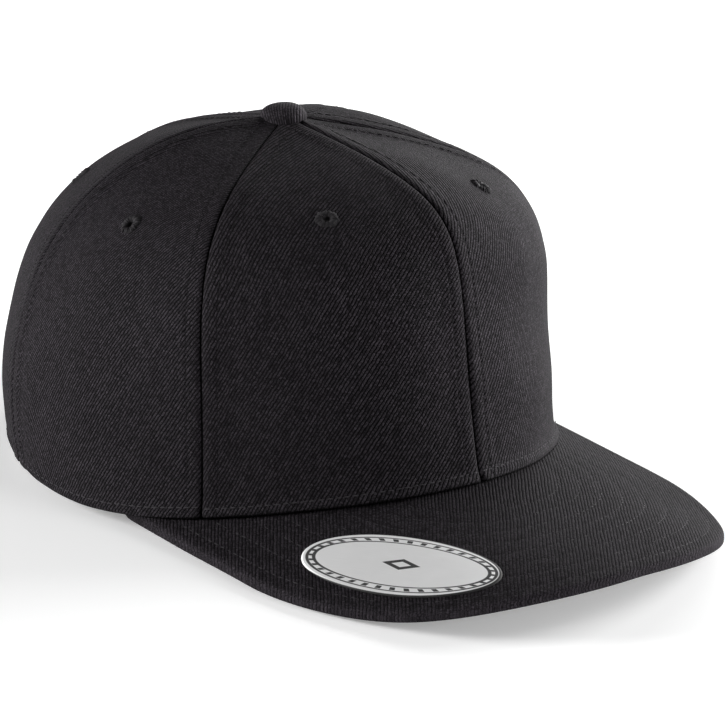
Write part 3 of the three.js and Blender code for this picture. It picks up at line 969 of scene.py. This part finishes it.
def make_panel(flat_panel, side, material):
    """A panel's wall of cloth, turned in at its edges, with the hole for its eyelet."""
    panel, kind, sign = flat_panel.panel, flat_panel.kind, SIDES[side]
    across, up = panel_grid(flat_panel)
    flat = flat_panel.flat(across, up)
    distances = edge_distances(flat_panel, flat)
    on_bill = beside_bill(panel_angle(panel, across, up), 2, 6)
    relief = panel_relief(flat_panel, across, up, side)
    thinnest = 0.05
    under = np.minimum(-WALL - turned_in(flat_panel, distances, inside=True), relief - thinnest)
    plain, normal = base_point(panel, across, up), base_normal(panel, across, up)
    outer, inner = (plain + normal * height[..., None] for height in (relief, under))
    for face in (outer, inner):
        face[..., 2] -= HEM["drop"] * on_bill * np.exp(-distances[2] / HEM["drop_spread"])
    u, v = bowed(sign * flat[..., 0], flat[..., 1], -sign, panel["bow"])
    cloth = weave(u, v, panel["ribs"], 37.0 * (panel_seed(kind, side) % 9)) * panel["fine"]
    # The second UV layer carries wear with a painted highlight at the edges, and painted shade in the seams
    # and at the foot.
    points, faces, cloth = closed_wall(outer, inner, with_wear_and_painted_light(cloth, *panel_wear_and_painted_light(distances, on_bill)))
    points[:, 0] *= sign
    name = f"panel_{kind}_{side}"
    piece = add_object(f"cloth_{name}", make_mesh(name, points, faces[:, ::sign], cloth))
    cut_hole(piece, eyelet_place(flat_panel, side), EYELET["cut"], 6, 24)
    finish_piece(piece, material, [name])


def eyelet_place(flat_panel, side):
    """Middle of a panel's eyelet with its right, upward and outward directions."""
    across, up = (np.array(value) for value in flat_panel.panel["eyelet"])
    place, normal = finished_point(flat_panel, across, up, side)
    above = base_point(flat_panel.panel, across, up + 0.01) - base_point(flat_panel.panel, across, up)
    above = unit(above - normal * (above @ normal))
    mirror = np.array([SIDES[side], 1, 1])
    normal, above = normal * mirror, above * mirror
    return place * mirror, np.cross(above, normal), above, normal


def make_eyelets(flats, material):
    tree, thick = eyelet_tree(), EYELET["thread"]
    middle, half = ((EYELET["outer"] + sign * EYELET["inner"]) / 2 for sign in (1, -1))
    for kind, flat_panel in flats.items():
        for side in SIDES:
            name = f"eyelet_{kind}_{side}"
            ring = add_object(f"wound_{name}", bpy.data.meshes.new(name))
            run_tree(ring, tree, Threads=EYELET["threads"], Middle=middle, Across=half - thick,
                     Down=WALL / 2 + EYELET["rise"] - thick, Thickness=thick,
                     Seed=panel_seed(kind, side), Material=material)
            mesh = ring.data
            points = np.empty(len(mesh.vertices) * 3)
            mesh.vertices.foreach_get("co", points)
            points = stand(points.reshape(-1, 3) - (0, 0, WALL / 2), *eyelet_place(flat_panel, side))
            mesh.vertices.foreach_set("co", seated(points).ravel())
            mesh.update()
            finish_piece(ring, material, [name])


def path_mesh(name, paths):
    """A mesh of open paths, each a pair of points and face directions, for the stitches to follow."""
    points, edges, directions = [], [], []
    for line, out in paths:
        start = len(points)
        points += list(line)
        directions += list(out)
        edges += [(start + k, start + k + 1) for k in range(len(line) - 1)]
    mesh = make_mesh(name, np.array(points), (), edges=edges)
    layer = mesh.attributes.new("face", "FLOAT_VECTOR", "POINT")
    layer.data.foreach_set("vector", tipped(directions).ravel())
    return mesh


def make_stitches(name, paths, sizes, material, tree, seed):
    """Rows of stitches along paths."""
    piece = add_object(name, path_mesh(name, paths))
    lengths = {key.capitalize(): sizes[key] * MM for key in ("pitch", "length", "width", "depth")}
    run_tree(piece, tree, Seed=seed, Material=material, **lengths)
    finish_piece(piece, material)


def panel_path(flat_panel, side, across, up, sink):
    points, normal = finished_point(flat_panel, across, up, side, sink)
    mirror = np.array([SIDES[side], 1, 1])
    return points * mirror, normal * mirror


def crown_stitch_paths(flats):
    """Rows beside every seam, and rows along the foot and round the opening."""
    seams, foot = [], []
    top_room, foot_room, end_room, sunk = 11, 1.5, 2.2, STITCH["sink"]
    for kind, flat_panel in flats.items():
        for side in SIDES:
            high = flat_panel.up_at(flat_panel.length - top_room)
            up = np.linspace(flat_panel.up_at(foot_room), high, 160)
            offset = flat_panel.from_seam(SEAM["stitch"], up)
            seams.append(panel_path(flat_panel, side, offset, up, sunk))
            peak = flat_panel.arc_up[-1] if kind == "rear" else -1.0
            kept = up > peak + flat_panel.up_at(OPENING["stitch"])
            seams.append(panel_path(flat_panel, side, 1 - offset[kept], up[kept], sunk))
            last = float(flat_panel.last_across(np.array(0.03)))
            ends = end_room / flat_panel.width[0]
            across = np.linspace(ends, last - ends, 90)
            level = flat_panel.up_at(HEM["stitch"])
            foot.append(panel_path(flat_panel, side, across, level + 0 * across, 0.0))
            if kind == "rear":
                turns = np.linspace(0.1, math.pi / 2 - 0.02, 90)
                arc = flat_panel.opening_point(OPENING["stitch"], turns)
                foot.append(panel_path(flat_panel, side, *arc, 0.0))
    return seams, foot


# Bill

def respaced(line, steps):
    """A line's points at even spacing along it."""
    length = np.concatenate([[0], np.cumsum(np.linalg.norm(np.diff(line, axis=0), axis=1))])
    even = np.linspace(0, length[-1], steps + 1)
    return np.stack([np.interp(even, length, line[:, k]) for k in range(line.shape[1])], axis=1)


def bill_outline(steps):
    """Outer edge from the wearer's right end round the front to the left end, in plan."""
    half, end = bill_end()
    half += BILL["proud"]
    front = -SECTIONS[0]["base"] - BILL["reach"]
    turns = np.linspace(0, math.pi / 2, 400)
    corner = np.stack([half - BILL["corner_width"] * (1 - np.sin(turns)),
                       front + BILL["corner_depth"] * (1 - np.cos(turns))], axis=1)
    back = np.linspace(corner[-1, 1], end, 61)[1:]
    width = half + BILL["splay"] * smooth(back, -78, -46)
    width = width - BILL["tapered"] * smooth(back, end - BILL["taper"], end + 1)
    right_half = np.concatenate([corner, np.stack([width, back], axis=1)])
    return respaced(np.concatenate([right_half[::-1] * (-1, 1), right_half]), steps)


def bill_relief(distance, x, y):
    """Bill cloth drawn down along its stitch rows and round its edge."""
    relief = lip(distance, BILL["thickness"] / 2, BILL["roundness"])
    for row in range(BILL_ROWS["count"]):
        at = BILL_ROWS["first"] + row * BILL_ROWS["pitch"]
        relief = relief - BILL_ROWS["dent"] * bump(distance, at, BILL_ROWS["dent_width"])
    depth, length = WAVES["bill"]
    return relief + depth * ripple(x, y, 7, length) * smooth(distance, 2, 14)


def edge_wrap(plan, fall):
    """How far the cloth runs on outwards, in plan, where it turns down over the bill's edge."""
    last = len(BILL_EDGE)
    steps = np.diff(plan[:last + 1], axis=0)
    across = np.linalg.norm(steps, axis=2)
    longer = np.hypot(across, np.diff(fall[:last + 1], axis=0)) - across
    wrap = np.zeros(plan.shape)
    wrap[:last] = np.cumsum(longer[::-1], axis=0)[::-1, :, None] * -unit(steps[-1])
    return wrap


def make_bill(material):
    """The bill, laid out in rows from its edge to a line tucked under the crown."""
    turns = np.radians(np.linspace(-BILL["end"], BILL["end"], 400))
    radius = around("base", np.abs(np.degrees(turns))) - BILL["tuck"]
    tucked = respaced(np.stack([radius * np.sin(turns), -radius * np.cos(turns)], axis=1), BILL_COLUMNS)
    plan = []
    for outer, inner in zip(bill_outline(BILL_COLUMNS), tucked):
        reach = np.linalg.norm(inner - outer)
        steps = edge_steps(BILL_EDGE, reach, BILL_DEPTH_STEPS + len(BILL_EDGE))
        plan.append(outer + (inner - outer) * (steps / reach)[:, None])
    plan = np.array(plan).transpose(1, 0, 2)
    x, y = plan[..., 0], plan[..., 1]
    distance = line_distance(plan, bill_outline(FINE_OUTLINE))
    thickness = BILL["thickness"]
    relief = np.maximum(bill_relief(distance, x, y), -thickness / 2)
    top, under = bill_face(x, y, relief), bill_face(x, y, -thickness - relief)
    top[-1, :, 2] -= thickness / 2
    wrap = edge_wrap(plan, relief)
    u, v = x + wrap[..., 0], y + wrap[..., 1]
    along_arch = u * (1 + (2 * BILL["arch"] * u) ** 2 / 6)
    along_arch = along_arch + BILL["fan"] * np.maximum(0, u - BILL["fan_from"]) ** 2 / 2
    cloth = weave(along_arch * BILL["weave"], v * BILL["weave"], BILL["ribs"])
    beside = np.hypot(x, y) - around("base", np.degrees(np.arctan2(np.abs(x), -y)))
    # Painted shade on the bill beside the crown's foot. The negative share along the edge is a painted
    # highlight that lightens the bill's rim, which faces partly down into shade.
    dark = 0.75 * bump(np.maximum(beside - 0.4, 0), 0, 0.9) - 0.55 * bump(distance, 0, 1.3)
    # The rim is rubbed smooth and lighter: wear, and partly a painted highlight.
    cloth = with_wear_and_painted_light(cloth, 0.55 * bump(distance, 0, 0.9), dark)
    piece = add_object("cloth_bill", make_mesh("bill", *closed_wall(top, under, cloth)))
    finish_piece(piece, material, ["bill"])


def bill_stitch_paths():
    """Rows parallel to the bill's edge, on both faces, ending where the crown covers them."""
    outline = bill_outline(FINE_OUTLINE)
    along = np.gradient(outline, axis=0)
    inward = unit(np.stack([-along[:, 1], along[:, 0]], axis=1))
    paths = []
    for row in range(BILL_ROWS["count"]):
        line = outline + inward * (BILL_ROWS["first"] + row * BILL_ROWS["pitch"])
        angle = np.degrees(np.abs(np.arctan2(line[:, 0], -line[:, 1])))
        clear = np.hypot(line[:, 0], line[:, 1]) > around("base", angle) + 1.0
        line = line[clear & (angle < BILL["end"] + 8)]
        x, y = line[:, 0], line[:, 1]
        relief = bill_relief(line_distance(line, outline), x, y) - BILL_STITCH["sink"]
        out = unit(np.stack([2 * BILL["arch"] * x, 0 * x - BILL["slope"], 0 * x + 1], axis=1))
        paths += [(bill_face(x, y, relief), out), (bill_face(x, y, -BILL["thickness"] - relief), -out)]
    return paths


# Button

def make_button(cloth, plastic):
    """Covered dome whose skirt follows the crown, and the washer of its rivet inside."""
    radius, height = BUTTON["radius"], BUTTON["height"]
    sides, rings = 96, 26
    turns = ring_turns(sides)
    angle = np.degrees(np.abs(np.arctan2(np.sin(turns), np.cos(turns))))
    skirt = -np.tan(np.radians(around("fall", angle))) * radius - BUTTON["skirt"]
    share = np.arange(rings)[:, None] / rings
    climb, power = share * math.pi / 2, 2 / BUTTON["squareness"]
    out = radius * np.cos(climb) ** power - BUTTON["tuck"] * bump(share, 0.0, 0.12)
    z = skirt * (1 - share) ** 2 + height * np.sin(climb) ** power
    dome = np.stack([out * np.sin(turns), -out * np.cos(turns), z], axis=-1).reshape(-1, 3)
    points = np.concatenate([[(0, 0, -1)], dome, [(0, 0, height)]]) + (*BUTTON["place"], 0)
    x, y, z = points.T
    flank = (x / np.maximum(np.hypot(x, y), 0.1)) ** 2 * np.maximum(0, height - z) * 0.6
    place = weave(x * BUTTON["weave"] + np.sign(x) * flank, y * BUTTON["weave"], BILL["ribs"])
    points = points + (0, 0, CROWN_HEIGHT - BUTTON["sink"])
    piece = add_object("cloth_button", make_mesh("button", points, turned_faces(rings, sides), place))
    finish_piece(piece, cloth, ["button"])

    washer, top, thick = BUTTON["washer"], BUTTON["washer_top"], BUTTON["washer_thickness"]
    shank, under_cap = BUTTON["rivet"], -0.5
    points, faces = ring_solid([(0, top - thick), (washer - 0.4, top - thick), (washer, top - thick / 2),
                                (washer - 0.2, top), (shank, top), (shank, under_cap), (0, under_cap)], 40)
    rivet = add_object("button_rivet", make_mesh("rivet", points + (0, 0, CROWN_HEIGHT), faces))
    finish_piece(rivet, plastic)


# Strap

def strap_point(turn, rise, depth):
    """Points inside the rear panels: turn from the back, rise above the foot line, depth in from its face."""
    turn, rise = np.broadcast_arrays(np.asarray(turn, float), np.asarray(rise, float))
    angle = 180 - np.abs(turn)
    table = np.linspace(0, 0.5, 90)
    points = crown_point(angle[..., None], table)
    length = np.cumsum(np.linalg.norm(np.diff(points, axis=-2), axis=-1), axis=-1)
    length = np.concatenate([np.zeros(length.shape[:-1] + (1,)), length], axis=-1)
    wanted = STRAP["foot"] + rise
    up = np.empty(angle.shape)
    for place in np.ndindex(angle.shape):
        up[place] = np.interp(wanted[place], length[place], table)
    rear = PANELS["rear"]
    start, end = lerp(*rear["from"], up), lerp(*rear["to"], up)
    point = base_point(rear, (angle - start) / (end - start), up, -WALL - FOOT_GAP - depth)
    point[..., 0] *= np.where(turn < 0, -1, 1)
    return point


def strap_frame(place, depth):
    """Middle of the strap at a snap's place, with its right, upward and outward directions."""
    turn, rise, step = place * SNAPS["pitch"], STRAP["width"] / 2, 0.2
    right = unit(strap_point(turn + step, rise, depth) - strap_point(turn - step, rise, depth))
    above = unit(strap_point(turn, rise + 1, depth) - strap_point(turn, rise - 1, depth))
    return strap_point(turn, rise, depth), right, above, np.cross(above, right)


def make_band(name, start, end, depth):
    """One half of the strap: a moulded band with soft edges and a rounded free end."""
    per_degree, corner, width = 1.8, STRAP["corner"], STRAP["width"]
    length = abs(end - start) * per_degree
    along, across = np.meshgrid(edge_steps(BAND_EDGE["along"], length, 70),
                                edge_steps(BAND_EDGE["across"], width, 26))
    turn = lerp(start, end, along / length)
    past = np.maximum(corner - (length - along), 0)
    inset = np.where(past > 0, corner - np.sqrt(np.maximum(corner ** 2 - past ** 2, 0)), 0)
    half = width / 2
    squeeze = (half - inset) / half
    rise = half + (across - half) * squeeze
    edge = np.minimum.reduce([across * squeeze, (width - across) * squeeze, along, length - along])
    soft = lip(edge, STRAP["layer"] / 2, 2.2)
    order = 1 if end < start else -1
    outer = strap_point(turn, rise, depth - soft)[:, ::order]
    inner = strap_point(turn, rise, depth + STRAP["layer"] + soft)[:, ::order]
    return add_object(name, make_mesh(name, *closed_wall(outer, inner)))


def make_strap(plastic):
    """The snap strap: an outer band with holes over an inner band with pegs."""
    reach, overlap, layer = STRAP["reach"], STRAP["overlap"], STRAP["layer"]
    outer = make_band("strap_outer_half", -reach, overlap, 0.0)
    for place in SNAPS["holes"]:
        cut_hole(outer, strap_frame(place, 0.0), SNAPS["radius"] + SNAPS["play"], 4, 28)
    finish_piece(outer, plastic, ["snap_strap"])
    inner = make_band("strap_inner_half", reach, -overlap, layer)
    finish_piece(inner, plastic)

    radius, root = SNAPS["radius"], -SNAPS["root"]
    high = layer + SNAPS["height"] + root
    points, faces = ring_solid([(0, root), (radius - 0.5, root), (radius - 0.5, high - 1.3),
                                (radius - 0.1, high - 1.1), (radius, high - 0.7),
                                (radius - 0.25, high - 0.25), (radius - 0.9, high), (0, high)], 28)
    one_peg = bpy.data.meshes.new("peg")
    one_peg.from_pydata((points * MM).tolist(), [], faces)
    pattern = add_object("peg_pattern", one_peg)
    places, _, _, directions = zip(*(strap_frame(place, layer) for place in SNAPS["pegs"]))
    pegs = add_object("strap_pegs", path_mesh("strap_pegs", [(places, directions)]))
    run_tree(pegs, peg_tree(), Peg=pattern, Material=plastic)
    bpy.data.objects.remove(pattern)
    finish_piece(pegs, plastic)


# Sticker

def make_sticker(material):
    """The oval sticker, laid on the bill with its rim rounded down into the cloth."""
    rings, sides = 34, 120
    turns = ring_turns(sides)
    share = (np.arange(rings, 0, -1)[:, None] / rings) ** 0.8
    oval = np.stack([STICKER["long"] * share * np.cos(turns), STICKER["short"] * share * np.sin(turns)],
                    axis=-1)
    u, v = np.concatenate([[(0, 0)], oval[0], oval.reshape(-1, 2), [(0, 0)]]).T
    under, rim = slice(0, 1 + sides), slice(1 + sides, 1 + 2 * sides)
    height = np.full(len(u), STICKER["lift"] + STICKER["thickness"])
    height[under] = -STICKER["sunk"]
    height[rim] -= STICKER["rounding"]
    turn = math.radians(STICKER["turn"])
    x = STICKER["x"] + u * math.cos(turn) - v * math.sin(turn)
    y = STICKER["y"] + u * math.sin(turn) + v * math.cos(turn)
    cloth = np.stack([u, v], axis=-1)
    cloth[under] *= 1.01
    mesh = make_mesh("sticker", bill_face(x, y, height), turned_faces(rings + 1, sides), cloth)
    finish_piece(add_object("foil_sticker", mesh), material, ["bill_sticker"])


# Camera, floor and light

def towards(turn, rise):
    """Direction some degrees round from the bill's front and above the level."""
    turn, rise = math.radians(turn), math.radians(rise)
    return Vector((math.sin(turn) * math.cos(rise), -math.cos(turn) * math.cos(rise), math.sin(rise)))


def make_camera():
    turn, roll = CAMERA["turn"], math.radians(CAMERA["roll"])
    back, right = towards(turn, CAMERA["rise"]), towards(turn + 90, 0)
    above = back.cross(right)
    right, above = (right * math.cos(roll) + above * math.sin(roll),
                    above * math.cos(roll) - right * math.sin(roll))
    axes = Matrix([TIP @ axis for axis in (right, above, back)]).transposed()
    place = Vector(CAMERA["aim"]) + back * CAMERA["distance"]
    data = bpy.data.cameras.new("camera")
    data.angle = math.radians(CAMERA["angle"])
    data.clip_start, data.clip_end = 0.05, 100
    camera = add_object("camera", data)
    camera.matrix_world = Matrix.Translation(Vector(seated([place])[0])) @ axes.to_4x4()
    bpy.context.scene.camera = camera


def add_light(name, turn, rise, power, size=1.0, distance=2.0):
    """A square soft light that looks at the middle of the cap from degrees round and above it."""
    data = bpy.data.lights.new(name, "AREA")
    data.shape, data.size, data.energy = "SQUARE", size, power
    light = add_object(name, data)
    way = towards(turn, rise)
    light.location = Vector((0, 0, 0.05)) + way * distance
    light.rotation_euler = way.to_track_quat("Z", "Y").to_euler()
    light.visible_camera = False


def make_stage():
    """A white floor, a sky that only the camera sees bright, and the lights."""
    size = 12.0
    floor = add_object("floor", bpy.data.meshes.new("floor"))
    floor.data.from_pydata([(-size, -size, 0), (size, -size, 0), (size, size, 0), (-size, size, 0)], [],
                           [(0, 1, 2, 3)])
    floor.data.materials.append(plain_floor("floor_white", 0.93))
    world = bpy.data.worlds.new("studio")
    bpy.context.scene.world = world
    world.use_nodes = True
    sky = next(node for node in world.node_tree.nodes if node.type == "BACKGROUND")
    sky.inputs["Color"].default_value = (1, 1, 1, 1)
    seen = Net(world.node_tree).node("ShaderNodeLightPath").output("Is Camera Ray")
    (seen * 0.95 + 0.05).into(sky, "Strength")
    for light in LIGHTS:
        add_light(*light)


make_camera()
make_stage()

bpy.context.scene.view_settings.view_transform = "Standard"

crown_cloth = twill("charcoal_twill", ridge=0.0202, valley=0.02)
bill_cloth = twill("bill_twill", ridge=0.0185, valley=0.04, gloss=0.045, ribbing=0.62)
button_cloth = twill("button_twill", ridge=0.026, valley=0.12, ribbing=0.8)
foot_thread = thread("grey_thread", 0.04)
bill_thread = thread("bill_thread", 0.032, roughness=0.7, specular=0.12)
seam_thread = thread("black_thread", 0.008)
eyelet_thread = thread("eyelet_thread", 0.022, roughness=0.65, specular=0.13)
black_plastic = moulded_plastic("black_plastic", 0.014)

flats = {kind: FlatPanel(kind) for kind in PANELS}
for flat_panel in flats.values():
    for side in SIDES:
        make_panel(flat_panel, side, crown_cloth)
make_eyelets(flats, eyelet_thread)
make_bill(bill_cloth)
make_button(button_cloth, black_plastic)
rows = stitch_tree()
seam_paths, foot_paths = crown_stitch_paths(flats)
make_stitches("seam_stitches", seam_paths, STITCH, seam_thread, rows, 3)
make_stitches("foot_stitches", foot_paths, STITCH, foot_thread, rows, 4)
make_stitches("bill_stitches", bill_stitch_paths(), BILL_STITCH, bill_thread, rows, 5)
make_strap(black_plastic)
make_sticker(foil("silver_foil"))
